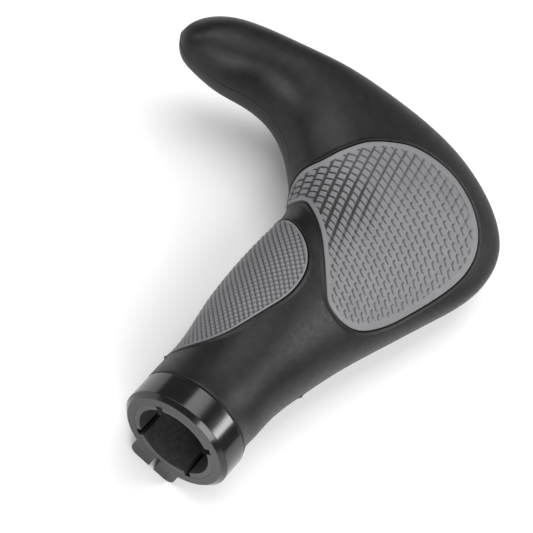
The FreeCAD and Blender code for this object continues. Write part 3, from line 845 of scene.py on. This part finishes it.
def make_rubber():
    finish = Finish("rubber_black", grey(0.009, 1.06), 0.42)
    mottle = finish.noise(320, 8)
    finish.link(finish.colours(mottle, [(0.35, grey(0.006, 1.06)), (0.7, grey(0.0105, 1.06))]),
                "Base Color")
    finish.set("Specular IOR Level", 0.25)
    finish.link(finish.spread(finish.noise(900, 6), 0.38, 0.48), "Roughness")
    grain = finish.bump(finish.noise(4200, 3), 0.00006, 0.7)
    finish.link(finish.bump(finish.noise(420, 3), 0.00005, 0.2, grain), "Normal")
    return finish.material


def make_pad():
    finish = Finish("pad_grey", grey(0.23), 0.6)
    # Painted shade: the ramp darkens the pad by its "relief" attribute, so its grooves and its
    # rounded edge are painted dark where shade falls.
    pad_colour_with_painted_shade = finish.colours(finish.attribute("relief"), [
        (0.36, grey(0.022, 1.05)), (0.6, grey(0.095, 1.05)), (0.8, grey(0.138, 1.05)),
        (1.0, grey(0.165, 1.05))])
    mottle = finish.colours(finish.noise(90, 5), [(0.3, grey(0.9)), (0.7, grey(1.0))])
    finish.link(finish.multiply(pad_colour_with_painted_shade, mottle), "Base Color")
    finish.link(finish.spread(finish.noise(200, 4), 0.52, 0.66), "Roughness")
    finish.link(finish.bump(finish.noise(6500, 2), 0.00004, 0.5), "Normal")
    return finish.material


def make_anodised():
    finish = Finish("ring_anodised", grey(0.005, 1.1), 0.16)
    turned = finish.noise(1, 3, finish.stretched((9000, 60, 60)))
    finish.link(finish.spread(turned, 0.1, 0.22), "Roughness")
    finish.link(finish.bump(turned, 0.000004, 0.5, finish.soft_edge(0.0003)), "Normal")
    return finish.material


def make_steel(name, level, low, high):
    finish = Finish(name, grey(level, 1.02), low, 1.0)
    finish.link(finish.spread(finish.noise(900, 5), low, high), "Roughness")
    tone = finish.colours(finish.noise(350, 4),
                          [(0.3, grey(level * 0.75)), (0.7, grey(level * 1.15))])
    finish.link(tone, "Base Color")
    pits = finish.noise(3800, 2)
    finish.link(finish.bump(pits, 0.000012, 0.5, finish.soft_edge(0.00015)), "Normal")
    return finish.material


def make_nylon():
    finish = Finish("core_nylon", grey(0.03), 0.45)
    fibres = finish.noise(1, 4, finish.stretched((700, 2600, 2600)))
    finish.link(finish.colours(fibres, [(0.35, grey(0.022)), (0.75, grey(0.05))]), "Base Color")
    finish.link(finish.spread(fibres, 0.38, 0.55), "Roughness")
    finish.link(finish.bump(fibres, 0.00003, 0.4, finish.soft_edge(0.0003)), "Normal")
    return finish.material


MATERIALS = {
    "ring_anodised": make_anodised(),
    "screw_steel": make_steel("screw_steel", 0.06, 0.28, 0.42),
    "washer_steel": make_steel("washer_steel", 0.5, 0.2, 0.36),
    "core_nylon": make_nylon(),
    "rubber_black": make_rubber(),
    "pad_grey": make_pad(),
}

for piece, node, slot in ((rubber_body, "rubber_body", "rubber_black"),
                          (palm_pad, "palm_pad", "pad_grey"),
                          (finger_pad, "finger_pad", "pad_grey")):
    piece.data.materials.append(MATERIALS[slot])
    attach(piece, "grip")
    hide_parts(node)

for subpart in frame["record"]["subparts"]:
    item = frame["nodes"][subpart["node"]]
    if not item.hide_render:
        item.data.materials.clear()
        item.data.materials.append(MATERIALS[subpart["material_slot"]])


# ------------------------------------------------------------------------------------------
# Studio
# ------------------------------------------------------------------------------------------
OBJECT_LOW, OBJECT_HIGH = CAD_BOX
MIDDLE = (OBJECT_LOW + OBJECT_HIGH) / 2
FLOOR_HALF = 6.0
LENS = 152.5
CAMERA_PLACE = (-0.2773, 0, 0.5273)
CAMERA_AIM = Vector((0.0602, 0.0131, 0))
CAMERA_UP = Vector((0.6212, 0.6653, 0.4142))
SOFTBOX_UP = Vector((0.3, 1, 0.1))


def look(item, target, image_up):
    forward = (target - item.location).normalized()
    right = forward.cross(image_up).normalized()
    item.rotation_mode = "QUATERNION"
    axes = Matrix((right, right.cross(forward), -forward)).transposed()
    item.rotation_quaternion = axes.to_quaternion()


def add_floor():
    mesh = bpy.data.meshes.new("floor")
    corners = [(x * FLOOR_HALF, y * FLOOR_HALF, OBJECT_LOW.z)
               for x, y in ((-1, -1), (1, -1), (1, 1), (-1, 1))]
    mesh.from_pydata(corners, [], [(0, 1, 2, 3)])
    floor = bpy.data.objects.new("floor", mesh)
    bpy.context.scene.collection.objects.link(floor)
    mesh.materials.append(Finish("floor_white", grey(0.86), 0.9).material)


def add_softbox(name, direction, distance, size, power):
    light = bpy.data.lights.new(name, "AREA")
    light.shape = "RECTANGLE"
    light.size, light.size_y = size
    light.energy = power
    item = bpy.data.objects.new(name, light)
    bpy.context.scene.collection.objects.link(item)
    item.location = MIDDLE + Vector(direction).normalized() * distance
    look(item, MIDDLE, SOFTBOX_UP)


def add_world(strength):
    world = bpy.data.worlds.new("studio")
    world.use_nodes = True
    background = next(node for node in world.node_tree.nodes if node.type == "BACKGROUND")
    background.inputs["Color"].default_value = (1, 1, 1, 1)
    background.inputs["Strength"].default_value = strength
    bpy.context.scene.world = world


def add_camera():
    data = bpy.data.cameras.new("camera")
    data.lens = LENS
    data.sensor_width = 36
    data.clip_start, data.clip_end = 0.05, 20
    camera = bpy.data.objects.new("camera", data)
    bpy.context.scene.collection.objects.link(camera)
    camera.location = CAMERA_PLACE
    look(camera, CAMERA_AIM, CAMERA_UP)
    bpy.context.scene.camera = camera


add_floor()
add_softbox("top_softbox", (0.1, 0.25, 1.0), 0.9, (0.8, 0.6), 5.8)
add_softbox("right_softbox", (0.54, -0.6, 0.6), 1.0, (0.25, 0.5), 5.5)
add_softbox("front_softbox", (-0.75, -0.4, 0.45), 1.0, (0.8, 0.5), 8.5)
add_softbox("left_softbox", (-0.5, 0.75, 0.75), 1.1, (0.6, 0.6), 3.5)
add_world(0.2)
add_camera()
bpy.context.scene.view_settings.view_transform = "Standard"
